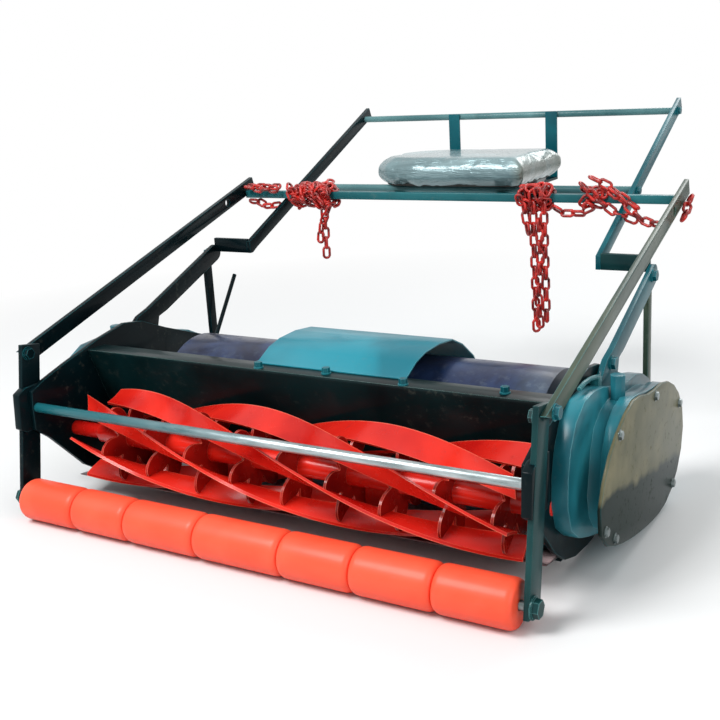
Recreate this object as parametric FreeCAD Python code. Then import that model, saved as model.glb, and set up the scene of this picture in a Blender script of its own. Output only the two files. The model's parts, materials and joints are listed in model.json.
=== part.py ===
import FreeCAD, Part
import math
import os

# Drawn roller mower. Lengths are in millimetres, angles in degrees, +Z is up.
# X runs along the cutting width and -Y is the front, where the small roller goes first.
# The sizes below are measured from the front roller's axis and from the ground;
# every piece is then moved so that the origin is under the middle of the machine.

V = FreeCAD.Vector
os.makedirs("parts", exist_ok=True)

# front roller and the shaft through it
roller_radius = 41.0
roller_seams = (-525.0, -385.0, -252.0, -87.0, 96.0, 238.0, 388.0, 525.0)
roller_seam = 1.5
roller_edge = 7.0
roller_edge_run = 12.0
shaft_radius = 8.0
running_fit = 0.05

# cutting reel, a little longer on its +X side
reel_y = 135.0
reel_z = 148.0
reel_radius = 96.0
reel_low_x = -441.0
reel_high_x = 487.0
reel_blades = 6
blade_width = 46.0
blade_thick = 5.0
blade_rake = 30.0
blade_pitch = 276.7
blade_lead = 85.4
blade_steps = 15
reel_tube_radius = 21.0
reel_journal_radius = 15.0
spider_first = -364.0
spider_count = 9
spider_pitch = 103.0
spider_thick = 5.0
spider_hub = 40.0
spider_arm = 34.0
spider_bore_sides = 8
spider_setback = 1.9

# land drum behind the reel, in two shells on one axle
reel_drum_gap = 23.0
drum_radius = 146.0
drum_y = reel_y + reel_radius + reel_drum_gap + drum_radius
drum_middle = 27.0
drum_half = 419.0
drum_gap = 60.0
drum_axle_radius = 18.0

# side plates, front posts and long bars, from the middle outwards
bar_thick = 10.0
plate_in = 518.0
plate_out = plate_in + bar_thick
guide_in = plate_out
post_in = 535.2
post_out = post_in + bar_thick
long_bar_out = post_out + bar_thick
post_width = 47.0
post_low = (5.3, 22.0)
post_high = (59.0, 346.0)
long_bar_width = 33.0
long_bar_low = (36.0, 334.0)
long_bar_high = (855.0, 583.0)
long_bar_slant = 0.05
tie_radius = 9.5
tie_z = 222.0
guide_low = 176.0
guide_high = 266.0
guide_front = 4.0
guide_back = 78.0
guide_edge = 10.0

# gear cases: widths of the steps of the casting, from the side plate outwards
band_wide = 28.0
groove_wide = 22.0
rim_wide = 21.0
cover_thick = 7.0
groove_depth = 9.0
casting_steps = 28
band_out = plate_out + band_wide
groove_out = band_out + groove_wide
rim_out = groove_out + rim_wide
case_out = rim_out + cover_thick
cap_radius = 13.0
cap_sides = 8
cap_y = 335.0
cap_top = 316.0
cap_x = band_out + 14.0
shift_rod_x = plate_out + 12.0
shift_rod_radius = 4.0

# sheet between the reel and the drum, and the arched cover over the drum's middle
sheet_thick = 4.0
reel_sheet_gap = 9.0
sheet_y = reel_y + reel_radius + reel_sheet_gap
sheet_low = 120.0
fold_z = 170.0
flange_front = 193.0
flange_back = 240.0
flange_z = 301.0
flange_lip = 6.0
arch_low_x = -110.0
arch_high_x = 217.0
arch_thick = 3.0

# fixed knife under the reel and the bar behind it
knife_gap = 5.0
knife_z = reel_z - reel_radius - knife_gap
knife_ahead = 8.0
knife_behind = 60.0
knife_edge = 2.0
knife_front = reel_y - knife_ahead
knife_back = reel_y + knife_behind
knife_drop = 8.0
knife_thick = 5.0
bed_bar_thick = 20.0
bed_bar_low = 22.0

# brackets, knee bars and seat arms
bracket_in = plate_out + 3.0
bracket_out = bracket_in + bar_thick
leg_foot = (405.0, 341.0)
leg_top = (655.0, 441.0)
leg_width = 39.0
eye_radius = 19.0
strut_y = 620.0
strut_width = 23.0
strut_low = 176.0
arm_in = 423.3
arm_out = arm_in + bar_thick
arm_low = (660.0, 454.0)
arm_high = (1262.0, 726.4)
arm_width = 28.0
knee_low = 426.0
knee_high = 459.0

# crossbars and back rail
cross_front = (831.0, 543.5)
cross_size = 18.0
cross_rear = (911.0, 551.0)
cross_rear_radius = 9.0
rail_at = (1237.0, 697.0)
rail_radius = 8.0

# seat, its straps and the blocks that raise its back edge
strap_places = (-146.0, 122.0)
strap_width = 30.0
strap_thick = 6.0
seat_block_y = 1066.0
seat_block_size = 22.0
seat_left = -214.0
seat_right = 200.0
seat_front = 848.0
seat_back = 1122.0
seat_low = 560.5
seat_high = 622.0
seat_board_thick = 6.0
seat_board_inset = 30.0
seat_turn_in = 120.0
seat_roll = 16.0

# hand lever beside the left case, on a boss of the side plate
lever_x = -502.0
lever_foot = (592.0, 222.0)
lever_tip = (692.0, 364.0)
lever_radius = 5.0
lever_boss = 11.0
lever_sides = 8

# chain links and the holes that hold the chains
link_pitch = 24.0
link_inner = 24.7
link_width = 22.0
wire_radius = 2.9
wire_rest = 10.0
links_round = 7
chain_hole = 9.0
hole_share = 0.86

slope_arm = math.atan2(arm_high[1] - arm_low[1], arm_high[0] - arm_low[0])
back_reach = arm_high[0] + arm_width * math.sin(slope_arm)
middle_y = (back_reach - roller_radius) / 2


def save(name, shape):
    moved = shape.copy()
    moved.translate(V(0, -middle_y, 0))
    moved.exportStep("parts/" + name + ".step")


def face_of(ring):
    return Part.Face(Part.makePolygon(list(ring) + [ring[0]]))


def slab(x_low, x_high, outline):
    # flat plate standing across X, with its outline given as (y, z) corners
    return face_of([V(x_low, y, z) for y, z in outline]).extrude(V(x_high - x_low, 0, 0))


def rounded_slab(x_low, x_high, outline):
    # the same with even steps along a smooth closed curve through the (y, z) points
    curve = Part.BSplineCurve()
    curve.interpolate(Points=[V(x_low, y, z) for y, z in outline], PeriodicFlag=True)
    ring = curve.toShape().discretize(Number=casting_steps + 1)[:-1]
    return face_of(ring).extrude(V(x_high - x_low, 0, 0))


def box(low, high):
    size = [b - a for a, b in zip(low, high)]
    return Part.makeBox(size[0], size[1], size[2], V(*low))


def rod(x_low, x_high, y, z, radius):
    return Part.makeCylinder(radius, x_high - x_low, V(x_low, y, z), V(1, 0, 0))


def flip(shape):
    return shape.mirror(V(0, 0, 0), V(1, 0, 0))


def both_sides(name, shape):
    # the shape is drawn on the +X side; the -X one is its mirror image
    save(name + "_right", shape)
    save(name + "_left", flip(shape))


def along(start, end, share):
    return tuple(a + (b - a) * share for a, b in zip(start, end))


def beside(line, amount):
    # the (y, z) line moved sideways by the amount, up for a line that runs to +Y
    run = (line[1][0] - line[0][0], line[1][1] - line[0][1])
    length = math.hypot(*run)
    return [(y - run[1] / length * amount, z + run[0] / length * amount) for y, z in line]


def strip(start, end, above, below):
    # corners of a straight strip beside the line start-end
    return beside([start, end], -below) + beside([start, end], above)[::-1]


def around(y, z, reach, sides):
    # corners of a regular figure with the given reach from its middle
    turns = [2 * math.pi * k / sides for k in range(sides)]
    return [(y + reach * math.cos(turn), z + reach * math.sin(turn)) for turn in turns]


def solid_from_rings(rings):
    # closed solid through rings of points, with flat three-cornered sides
    faces = [face_of(rings[0]), face_of(rings[-1])]
    for here, there in zip(rings, rings[1:]):
        for i in range(len(here)):
            j = (i + 1) % len(here)
            faces.append(face_of([here[i], here[j], there[j]]))
            faces.append(face_of([here[i], there[j], there[i]]))
    return Part.Solid(Part.makeShell(faces))


def bent_rod(points, radius, sides):
    # rod of flat sides through the points, cut square to the path at each of them
    rings = []
    for i, point in enumerate(points):
        before = points[max(i - 1, 0)]
        after = points[min(i + 1, len(points) - 1)]
        run = (after - before).normalize()
        first = run.cross(V(1, 0, 0)).normalize()
        second = run.cross(first).normalize()
        rings.append([point + first * a + second * b for a, b in around(0, 0, radius, sides)])
    return solid_from_rings(rings)


# front roller: sections with worn-in round edges, side by side on a fixed shaft
sections = []
bore_radius = shaft_radius + running_fit
for seam_low, seam_high in zip(roller_seams, roller_seams[1:]):
    x_low = seam_low + roller_seam / 2
    x_high = seam_high - roller_seam / 2
    profile = [
        (x_low, bore_radius),
        (x_low, roller_radius - roller_edge),
        (x_low + roller_edge_run, roller_radius),
        (x_high - roller_edge_run, roller_radius),
        (x_high, roller_radius - roller_edge),
        (x_high, bore_radius),
    ]
    face = face_of([V(x, 0, roller_radius + r) for x, r in profile])
    sections.append(face.revolve(V(0, 0, roller_radius), V(1, 0, 0), 360))
save("roller_sections", Part.makeCompound(sections))
save("roller_shaft", rod(-post_in, post_in, 0, roller_radius, shaft_radius))

# front posts lean back a little, from the roller's shaft up to the long bars
half_post = post_width / 2
post_strip = strip(post_low, post_high, half_post, half_post)
both_sides("front_post", slab(post_in, post_out, post_strip))

# guides clasp the posts from behind and join them to the side plates
guide = slab(guide_in, post_out, [
    (guide_front + guide_edge, guide_low),
    (guide_back, guide_low),
    (guide_back, guide_high),
    (guide_front + 2 * guide_edge, guide_high),
    (guide_front, guide_high - guide_edge),
    (guide_front - guide_edge / 2, guide_low + guide_edge),
])
both_sides("post_guide", guide.cut(slab(post_in, post_out + 1, post_strip)))

# side plates with the holes for the reel and drum bearings, and the rod that ties their noses
plate_outline = [
    (27, 178), (27, 222), (30, 257), (65, 272), (122, 289), (225, 316), (308, 331), (364, 323), (440, 290),
    (573, 240), (640, 222), (650, 150), (560, 60), (430, 14), (310, 8), (240, 14), (190, 30), (144, 62),
    (102, 107), (61, 150),
]
plate = slab(plate_in, plate_out, plate_outline)
for y, z, radius in ((reel_y, reel_z, reel_journal_radius), (drum_y, drum_radius, drum_axle_radius)):
    plate = plate.cut(rod(plate_in - 1, plate_out + 1, y, z, radius + running_fit))
both_sides("side_plate", plate)

tie_share = (tie_z - post_low[1]) / (post_high[1] - post_low[1])
tie_y = along(post_low, post_high, tie_share)[0]
save("tie_rod", rod(-plate_in, plate_in, tie_y, tie_z, tie_radius))

# gear cases: a stepped casting with a flat cover outside that reaches further forward
cover_outline = [
    (440, 262), (544, 246), (606, 206), (637, 163), (640, 106), (596, 42), (541, 15), (428, 13), (301, 35),
    (194, 67), (149, 95), (134, 129), (142, 170), (167, 207), (196, 236), (232, 256), (315, 282),
]
rim_outline = [
    (439, 264), (542, 243), (603, 204), (633, 162), (636, 108), (593, 45), (540, 19), (428, 17), (303, 39),
    (240, 66), (215, 100), (208, 145), (219, 188), (231, 235), (267, 268), (333, 281),
]
band_outline = [
    (440, 272), (544, 256), (606, 214), (637, 168), (638, 108), (594, 46), (540, 20), (428, 18), (303, 40),
    (198, 72), (150, 98), (128, 140), (128, 200), (146, 258), (186, 298), (232, 309), (300, 302), (340, 292),
]


def shrink(outline, amount):
    # moves each corner towards the middle of the outline by about the amount
    middle = [sum(values) / len(outline) for values in zip(*outline)]
    result = []
    for corner in outline:
        reach = math.hypot(corner[0] - middle[0], corner[1] - middle[1])
        result.append(along(corner, middle, amount / reach))
    return result


case = rounded_slab(plate_out, band_out, band_outline)
case = case.fuse(rounded_slab(band_out, groove_out, shrink(rim_outline, groove_depth)))
case = case.fuse(rounded_slab(groove_out, rim_out, rim_outline))
both_sides("gear_case", case)
both_sides("gear_cover", rounded_slab(rim_out, case_out, cover_outline))

cap_ring = [V(x, y, cap_top) for x, y in around(cap_x, cap_y, cap_radius, cap_sides)]
cap = face_of(cap_ring).extrude(V(0, 0, -4 * cap_radius)).cut(case)
cap = max(cap.Solids, key=lambda piece: piece.BoundBox.ZMax)
save("filler_caps", Part.makeCompound([cap, flip(cap)]))

# shift rod with a foot, curving over the front of the right-hand case
shift_path = [(226, 319), (252, 322), (278, 321), (304, 317), (326, 312)]
shift_rod = bent_rod([V(shift_rod_x, y, z) for y, z in shift_path], shift_rod_radius, 8)
shift_foot = box((plate_out, 314, 280), (shift_rod_x + shift_rod_radius, 328, 313)).cut(case)
save("shift_rod", shift_rod.fuse(shift_foot))

# land drum: two halves that turn on one axle, further out on the +X side
halves = []
for side in (-1, 1):
    ends = sorted((drum_middle + side * drum_gap / 2, drum_middle + side * drum_half))
    half = rod(ends[0], ends[1], drum_y, drum_radius, drum_radius)
    halves.append(half.cut(rod(ends[0] - 1, ends[1] + 1, drum_y, drum_radius, drum_axle_radius + running_fit)))
save("drum_shells", Part.makeCompound(halves))
save("drum_axle", rod(-plate_out, plate_out, drum_y, drum_radius, drum_axle_radius))

# sheet between the reel and the drum, with a folded top flange
save("deflector_plate", slab(-plate_in, plate_in, [
    (sheet_y + sheet_thick, sheet_low),
    (sheet_y + sheet_thick, fold_z),
    (flange_front + sheet_thick, flange_z - sheet_thick),
    (flange_back, flange_z - sheet_thick),
    (flange_back, flange_z),
    (flange_front, flange_z),
    (flange_front, flange_z - flange_lip),
    (sheet_y, fold_z),
    (sheet_y, sheet_low),
]))

# arched cover over the drive in the middle of the drum, seated on the flange
arch_line = [
    # angle round the drum's axis, height over its surface
    (125.4, 69), (115.1, 57), (99.0, 42), (80.9, 35.5), (65.5, 28.6), (44.8, 27), (28, 27), (12, 27),
]
arch_foot = flange_back - 14
outer = [(arch_foot, flange_z + arch_thick), (flange_back, flange_z + arch_thick)]
inner = [(arch_foot, flange_z), (flange_back + 1, flange_z)]
for turn, rise in arch_line:
    turn = math.radians(turn)
    for line, reach in ((outer, drum_radius + rise), (inner, drum_radius + rise - arch_thick)):
        line.append((drum_y + reach * math.cos(turn), drum_radius + reach * math.sin(turn)))
save("drum_cover", slab(arch_low_x, arch_high_x, outer + inner[::-1]))

# fixed knife under the reel and the bar behind it
save("bed_knife", slab(-plate_in, plate_in, [
    (knife_front, knife_z),
    (knife_front, knife_z - knife_edge),
    (knife_back, knife_z - knife_drop - knife_thick),
    (knife_back, knife_z - knife_drop),
]))
save("bed_bar", box(
    (-plate_in, knife_back, bed_bar_low),
    (plate_in, knife_back + bed_bar_thick, knife_z),
))

# reel shaft with its journals, spiders and twisted blades
shaft = rod(reel_low_x, reel_high_x, reel_y, reel_z, reel_tube_radius)
save("reel_shaft", shaft.fuse(rod(-plate_out, plate_out, reel_y, reel_z, reel_journal_radius)))

rake = math.radians(blade_rake)
blade_root = math.sqrt(
    reel_radius ** 2 + blade_width ** 2 - 2 * reel_radius * blade_width * math.cos(rake)
)
blade_lag = math.degrees(math.asin(blade_width * math.sin(rake) / blade_root))
blade_step_turn = 360 / reel_blades


def on_reel(x, radius, turn):
    turn = math.radians(turn)
    return V(x, reel_y + radius * math.cos(turn), reel_z + radius * math.sin(turn))


def blade_turn(x):
    return blade_lead + blade_step_turn * x / blade_pitch


def blade_ring(x, start):
    # corners of the blade's section: its cutting edge leads and its root lags by the rake
    turn = start + blade_turn(x)
    edge = on_reel(x, reel_radius, turn)
    root = on_reel(x, blade_root, turn + blade_lag)
    run = (root - edge).normalize()
    across = V(1, 0, 0).cross(run).normalize() * blade_thick
    if (edge + across - V(x, reel_y, reel_z)).Length > reel_radius:
        across = across * -1
    return [edge, root, root + across, edge + run * blade_thick + across]


blades = []
for k in range(reel_blades):
    places = [reel_low_x + (reel_high_x - reel_low_x) * i / blade_steps for i in range(blade_steps + 1)]
    blades.append(solid_from_rings([blade_ring(x, blade_step_turn * k) for x in places]))
save("reel_blades", Part.makeCompound(blades))

spiders = []
tip_reach = blade_root - spider_setback
bore_reach = (reel_tube_radius + running_fit) / math.cos(math.pi / spider_bore_sides)
for i in range(spider_count):
    x = spider_first + i * spider_pitch
    outline = []
    for k in range(reel_blades):
        turn = blade_turn(x) + blade_lag + blade_step_turn * k
        swing = math.degrees(math.asin(spider_arm / 2 / tip_reach))
        for reach, angle in ((tip_reach, -swing), (tip_reach, swing), (spider_hub, blade_step_turn / 2)):
            spot = on_reel(x, reach, turn + angle)
            outline.append((spot.y, spot.z))
    x_low = x - spider_thick / 2
    x_high = x + spider_thick / 2
    bore = slab(x_low - 1, x_high + 1, around(reel_y, reel_z, bore_reach, spider_bore_sides))
    spiders.append(slab(x_low, x_high, outline).cut(bore))
save("reel_spiders", Part.makeCompound(spiders))

# long side bars, cut upright at the low end, with a hole for the chain near the upper end
long_low, long_high = beside([long_bar_low, long_bar_high], -long_bar_width)
hole_line = beside([long_bar_low, long_bar_high], -long_bar_width / 2)
hole_at = along(hole_line[0], hole_line[1], hole_share)
long_bar = slab(post_out, long_bar_out, [
    along(long_low, long_high, long_bar_slant), long_high, long_bar_high, long_bar_low,
])
long_bar = long_bar.cut(rod(post_out - 1, long_bar_out + 1, hole_at[0], hole_at[1], chain_hole))
both_sides("long_bar", long_bar)

# brackets that carry the seat frame: a leaning leg with an eye on top, and an upright strut
leg_under = beside([leg_foot, leg_top], -leg_width)
leg = slab(bracket_in, bracket_out, [
    (330, 280), (342, 309), (368, 330), leg_foot, leg_top, leg_under[1],
    (466, 324), (437, 316), (429, 290), (430, 264),
])
eye_at = along(leg_top, leg_under[1], 0.5)
leg = leg.fuse(rod(bracket_in, bracket_out, eye_at[0], eye_at[1], eye_radius)).cut(case)
both_sides("bracket_leg", max(leg.Solids, key=lambda piece: piece.Volume))

strut_ends = [
    along(leg_under[0], leg_under[1], (y - leg_under[0][0]) / (leg_under[1][0] - leg_under[0][0]))
    for y in (strut_y, strut_y + strut_width)
]
strut = slab(bracket_in, bracket_out, [(y, strut_low) for y, z in strut_ends] + strut_ends[::-1])
both_sides("bracket_strut", max(strut.cut(case).Solids, key=lambda piece: piece.Volume))

# knee bars step in from the eyes, and the seat arms rise from them to the back rail
knee_y = arm_low[0]
knee_bar = box((arm_out, knee_y, knee_low), (bracket_in, knee_y + bar_thick, knee_high))
both_sides("knee_bar", knee_bar)

arm_under = beside([arm_low, arm_high], -arm_width)
arm = slab(arm_in, arm_out, [
    (knee_y, knee_low), (knee_y + bar_thick, knee_low), along(arm_under[0], arm_under[1], 0.03),
    arm_under[1], arm_high, arm_low,
])
half_cross = cross_size / 2
crossbar = box(
    (-post_out, cross_front[0] - half_cross, cross_front[1] - half_cross),
    (post_out, cross_front[0] + half_cross, cross_front[1] + half_cross),
)
both_sides("seat_arm", arm.cut(crossbar))
save("crossbar_front", crossbar)
save("crossbar_rear", rod(-arm_in, arm_in, cross_rear[0], cross_rear[1], cross_rear_radius))
save("back_rail", rod(-arm_in, arm_in, rail_at[0], rail_at[1], rail_radius))

# two straps run back under the rear crossbar, and uprights join them to the back rail
strap_top = cross_rear[1] - cross_rear_radius
strap_start = cross_front[0] + half_cross
strap_end = rail_at[0] - rail_radius
rail_top = rail_at[1] + rail_radius
board_low = cross_rear[1] + cross_rear_radius
straps = []
uprights = []
blocks = []
for x in strap_places:
    x_low = x - strap_width / 2
    x_high = x + strap_width / 2
    straps.append(box((x_low, strap_start, strap_top - strap_thick), (x_high, strap_end, strap_top)))
    uprights.append(box((x_low, strap_end - strap_thick, strap_top), (x_high, strap_end, rail_top)))
    blocks.append(box((x_low, seat_block_y, strap_top), (x_high, seat_block_y + seat_block_size, board_low)))
save("seat_straps", Part.makeCompound(straps))
save("strap_uprights", Part.makeCompound(uprights))
save("seat_blocks", Part.makeCompound(blocks))

# seat: a flat board, and a cushion that is round on the left and wraps down over the board's edge


def seat_plan(inset, height):
    # the seat's outline at the given height, with its left end turned in to a blunt nose
    nose = seat_turn_in - inset
    left = seat_left + inset
    right = seat_right - inset
    front = seat_front + inset
    back = seat_back - inset
    corners = [
        (left + nose, front), (right, front), (right, back), (left + nose, back),
        (left + nose / 3, back - nose / 4), (left, back - 0.8 * nose), (left, front + 0.45 * nose),
        (left + nose / 3, front + nose / 7),
    ]
    return [V(x, y, height) for x, y in corners]


board = face_of(seat_plan(seat_board_inset, board_low)).extrude(V(0, 0, seat_board_thick))
save("seat_board", board)
levels = ((seat_roll, seat_low), (0, seat_low + seat_roll), (0, seat_high - seat_roll), (seat_roll, seat_high))
cushion = solid_from_rings([seat_plan(inset, height) for inset, height in levels])
hollow = face_of(seat_plan(seat_board_inset, seat_low - 1))
hollow = hollow.extrude(V(0, 0, board_low + seat_board_thick - seat_low + 1))
save("seat_cushion", cushion.cut(hollow))

lever = bent_rod([V(lever_x, *lever_foot), V(lever_x, *lever_tip)], lever_radius, lever_sides)
boss = slab(-plate_in, lever_x + lever_radius, around(lever_foot[0], lever_foot[1], lever_boss, lever_sides))
lever = lever.fuse(boss)
save("hand_lever", lever)

# chains, as strands of links whose centres follow a path of (x, y, z) points
front_y, front_z = cross_front
over_z = front_z + half_cross + wire_rest
under_z = front_z - half_cross - wire_rest
ahead_y = front_y - half_cross - wire_rest


def wrap(x_from, turns, x_step, turn_from):
    # corners of a coil round the front crossbar, one link apart; 0 degrees is +Y and 90 is up
    reach = math.sqrt(link_pitch ** 2 - x_step ** 2) / (2 * math.sin(math.pi / links_round))
    points = []
    for i in range(int(round(turns * links_round)) + 1):
        turn = math.radians(turn_from + 360 * i / links_round)
        points.append((x_from + x_step * i, front_y + reach * math.cos(turn), front_z + reach * math.sin(turn)))
    return points


def hang(x_top, x_low, low):
    # over the crossbar from behind and down in front of it
    bend = wire_rest * (math.sqrt(2) - 1)
    return [
        (x_top, front_y - half_cross + bend + 12 + link_pitch, over_z),
        (x_top, ahead_y + wire_rest - bend, over_z),
        (x_top, ahead_y, over_z - wire_rest + bend), (x_low, ahead_y, low),
    ]


chain_left_paths = [
    [(-538, front_y, over_z), (-436, front_y - 4, over_z)],
    [(-538, front_y, under_z), (-510, front_y, under_z), (-484, 826, 514), (-438, 826, 519)],
    wrap(-410, 1.7, 9.1, 100),
    wrap(-404, 1.7, 9.1, 280),
    hang(-303, -306, 386),
]
chain_right_paths = [
    hang(208, 222, 470),
    hang(233, 238, 256),
    hang(258, 262, 262),
    [(275, front_y - 4, under_z), (300, 824, 512), (332, 824, 512), (360, front_y - 4, under_z)],
    [(338, front_y, over_z), (386, 826, over_z), (412, 808, 560), (432, 802, 546),
     (452, 800, 526), (472, 796, 508), (500, 784, 500), (524, 774, 501)],
    [(long_bar_out + wire_rest, 772, 512), (long_bar_out + wire_rest, 842, 556)],
]


def place_links(points):
    # even steps of the link pitch along the path, with the direction at each
    points = [V(*p) for p in points]
    spots = []
    left = link_pitch / 2
    for a, b in zip(points, points[1:]):
        run = b - a
        length = run.Length
        run.normalize()
        while left <= length:
            spots.append((a + run * left, V(run)))
            left += link_pitch
        left -= length
    return spots


def link(centre, run, roll):
    # one link: a six-cornered ring of wire, long way along the run
    side = run.cross(V(0, 0, 1))
    if side.Length < 0.2:
        side = V(0, 1, 0).cross(run)
    side.normalize()
    up = side.cross(run).normalize()
    turn = math.radians(roll)
    wide = side * math.cos(turn) + up * math.sin(turn)
    normal = run.cross(wide).normalize()
    long_half = link_inner / 2 + wire_radius
    wide_half = link_width / 2 - wire_radius
    shoulder = long_half - wide_half
    middle_line = [
        (long_half, 0), (shoulder, wide_half), (-shoulder, wide_half),
        (-long_half, 0), (-shoulder, -wide_half), (shoulder, -wide_half),
    ]
    inside = []
    outside = []
    for a, b in middle_line:
        reach = math.hypot(a, b)
        for shift, line in ((-wire_radius, inside), (wire_radius, outside)):
            line.append(centre + run * (a * (1 + shift / reach)) + wide * (b * (1 + shift / reach)))
    ring = face_of(outside).cut(face_of(inside))
    ring.translate(normal * -wire_radius)
    return ring.extrude(normal * (2 * wire_radius))


for name, paths in (("chain_left", chain_left_paths), ("chain_right", chain_right_paths)):
    links = []
    for path in paths:
        for i, (centre, run) in enumerate(place_links(path)):
            links.append(link(centre, run, 45 + 90 * (i % 2)))
    save(name, Part.makeCompound(links))
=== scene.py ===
import json
import math
import random

import bmesh
import bpy
import numpy as np
from mathutils import Matrix, Vector


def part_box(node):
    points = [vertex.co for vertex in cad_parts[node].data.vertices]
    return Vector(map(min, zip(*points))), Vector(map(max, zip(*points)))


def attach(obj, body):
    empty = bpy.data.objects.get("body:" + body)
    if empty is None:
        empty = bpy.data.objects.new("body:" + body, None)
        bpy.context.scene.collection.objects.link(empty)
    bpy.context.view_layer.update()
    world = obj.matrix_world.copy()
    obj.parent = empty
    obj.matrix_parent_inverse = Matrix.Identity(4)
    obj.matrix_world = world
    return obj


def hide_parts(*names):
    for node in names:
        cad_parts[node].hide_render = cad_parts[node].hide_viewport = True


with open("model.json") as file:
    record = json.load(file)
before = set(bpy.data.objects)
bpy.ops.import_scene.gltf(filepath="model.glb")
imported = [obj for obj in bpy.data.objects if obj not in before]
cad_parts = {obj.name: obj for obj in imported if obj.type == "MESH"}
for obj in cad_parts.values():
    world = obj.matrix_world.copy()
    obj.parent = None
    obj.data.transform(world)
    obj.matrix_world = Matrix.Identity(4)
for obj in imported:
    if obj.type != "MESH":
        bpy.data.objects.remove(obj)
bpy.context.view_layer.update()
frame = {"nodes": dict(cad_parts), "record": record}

# Dressing of a drawn roller mower. Metres; the places come from the frame's own nodes.
nodes = frame["nodes"]
mm = 0.001


def middleOf(name):
    low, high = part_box(name)
    return (Vector(low) + Vector(high)) / 2


rollerAxis = middleOf("roller_shaft")
reelAxis = middleOf("reel_shaft")
drumAxis = middleOf("drum_axle")

# camera: its place is counted from the front roller's axis on the ground
cameraSet = {"side": 1.0896, "back": -1.3527, "up": 0.8494, "yaw": 31.40, "pitch": -14.91, "roll": -3.42,
             "frame": 720.0, "focal": 1059.0, "middleX": 358.0, "middleY": 345.5, "sensor": 36.0, "far": 60.0}


def addCamera(s):
    data = bpy.data.cameras.new("camera")
    data.sensor_fit = "HORIZONTAL"
    data.sensor_width = s["sensor"]
    data.lens = s["sensor"] * s["focal"] / s["frame"]
    data.shift_x = (s["frame"] / 2 - s["middleX"]) / s["frame"]
    data.shift_y = (s["middleY"] - s["frame"] / 2) / s["frame"]
    data.clip_end = s["far"]
    camera = bpy.data.objects.new("camera", data)
    camera.location = (s["side"], rollerAxis.y + s["back"], s["up"])
    turn = Matrix.Rotation(math.radians(s["yaw"]), 3, "Z")
    turn = turn @ Matrix.Rotation(math.radians(90 + s["pitch"]), 3, "X")
    camera.rotation_euler = (turn @ Matrix.Rotation(math.radians(s["roll"]), 3, "Z")).to_euler()
    bpy.context.collection.objects.link(camera)
    bpy.context.scene.camera = camera


addCamera(cameraSet)
print("camera set")


# shader maths: a socket that takes Python's operators
class Wire:
    def __init__(self, look, socket):
        self.look = look
        self.socket = socket

    def __add__(self, other):
        return self.look.maths("ADD", self, other)

    def __radd__(self, other):
        return self.look.maths("ADD", other, self)

    def __rsub__(self, other):
        return self.look.maths("SUBTRACT", other, self)

    def __mul__(self, other):
        return self.look.maths("MULTIPLY", self, other)


class Look:
    # one material: the surface's own numbers are set at once, patterns are linked afterwards
    def __init__(self, name, **numbers):
        self.material = bpy.data.materials.new(name)
        self.material.use_nodes = True
        self.tree = self.material.node_tree
        self.surface = self.tree.nodes["Principled BSDF"]
        for key, value in numbers.items():
            self.surface.inputs[key.replace("_", " ")].default_value = value
        self.place = self.make("TexCoord", out="Object")

    def make(self, kind, settings=None, sockets=None, out=0):
        node = self.tree.nodes.new("ShaderNode" + kind)
        for key, value in (settings or {}).items():
            setattr(node, key, value)
        for key, value in (sockets or {}).items():
            self.put(value, node.inputs[key])
        return Wire(self, node.outputs[out])

    def put(self, value, socket):
        if isinstance(value, Wire):
            self.tree.links.new(value.socket, socket)
        else:
            socket.default_value = value

    def set(self, name, value):
        self.put(value, self.surface.inputs[name])

    def maths(self, operation, a, b):
        return self.make("Math", {"operation": operation}, {0: a, 1: b})

    def within(self, value, low, high):
        # 0 below low, 1 above high
        return self.make("MapRange", {"clamp": True}, {"Value": value, "From Min": low, "From Max": high})

    def blend(self, share, first, second):
        return self.make("Mix", {"data_type": "RGBA"}, {0: share, 6: first, 7: second}, 2)

    def noise(self, scale, detail=3.0, rough=0.5, stretch=(1, 1, 1), warp=0.0):
        spot = self.make("Mapping", sockets={"Vector": self.place, "Scale": stretch})
        return self.make("TexNoise", sockets={
            "Vector": spot, "Scale": scale, "Detail": detail, "Roughness": rough, "Distortion": warp})

    def spots(self, low, high, *pattern):
        # the noise of a pattern as patches: 0 where it is below low, 1 where it is above high
        return self.within(self.noise(*pattern), low, high)

    def along(self, axis):
        return self.make("SeparateXYZ", sockets={0: self.place}, out=axis)

    def edges(self, radius, samples=6, low=0.01, high=0.16):
        # 1 near edges and corners, 0 on flat stretches
        soft = self.make("Bevel", {"samples": samples}, {"Radius": radius}, "Normal")
        plain = self.make("NewGeometry", out="Normal")
        same = self.make("VectorMath", {"operation": "DOT_PRODUCT"}, {0: soft, 1: plain}, "Value")
        return self.within(1 - same, low, high)

    def bump(self, height, depth, strength):
        sockets = {"Height": height, "Distance": depth, "Strength": strength}
        self.set("Normal", self.make("Bump", sockets=sockets))


def tone(red, green, blue):
    # colour as seen on a screen, 0 to 255, to the linear values that a socket takes
    def linear(value):
        value = value / 255
        return value / 12.92 if value <= 0.04045 else ((value + 0.055) / 1.055) ** 2.4
    return (linear(red), linear(green), linear(blue), 1)


# In the settings of the looks a noise is (scale, detail, roughness, stretch, warp), and spots
# have (from, to) before these. Shares say how strongly a pattern shows.
even = (1, 1, 1)

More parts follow.
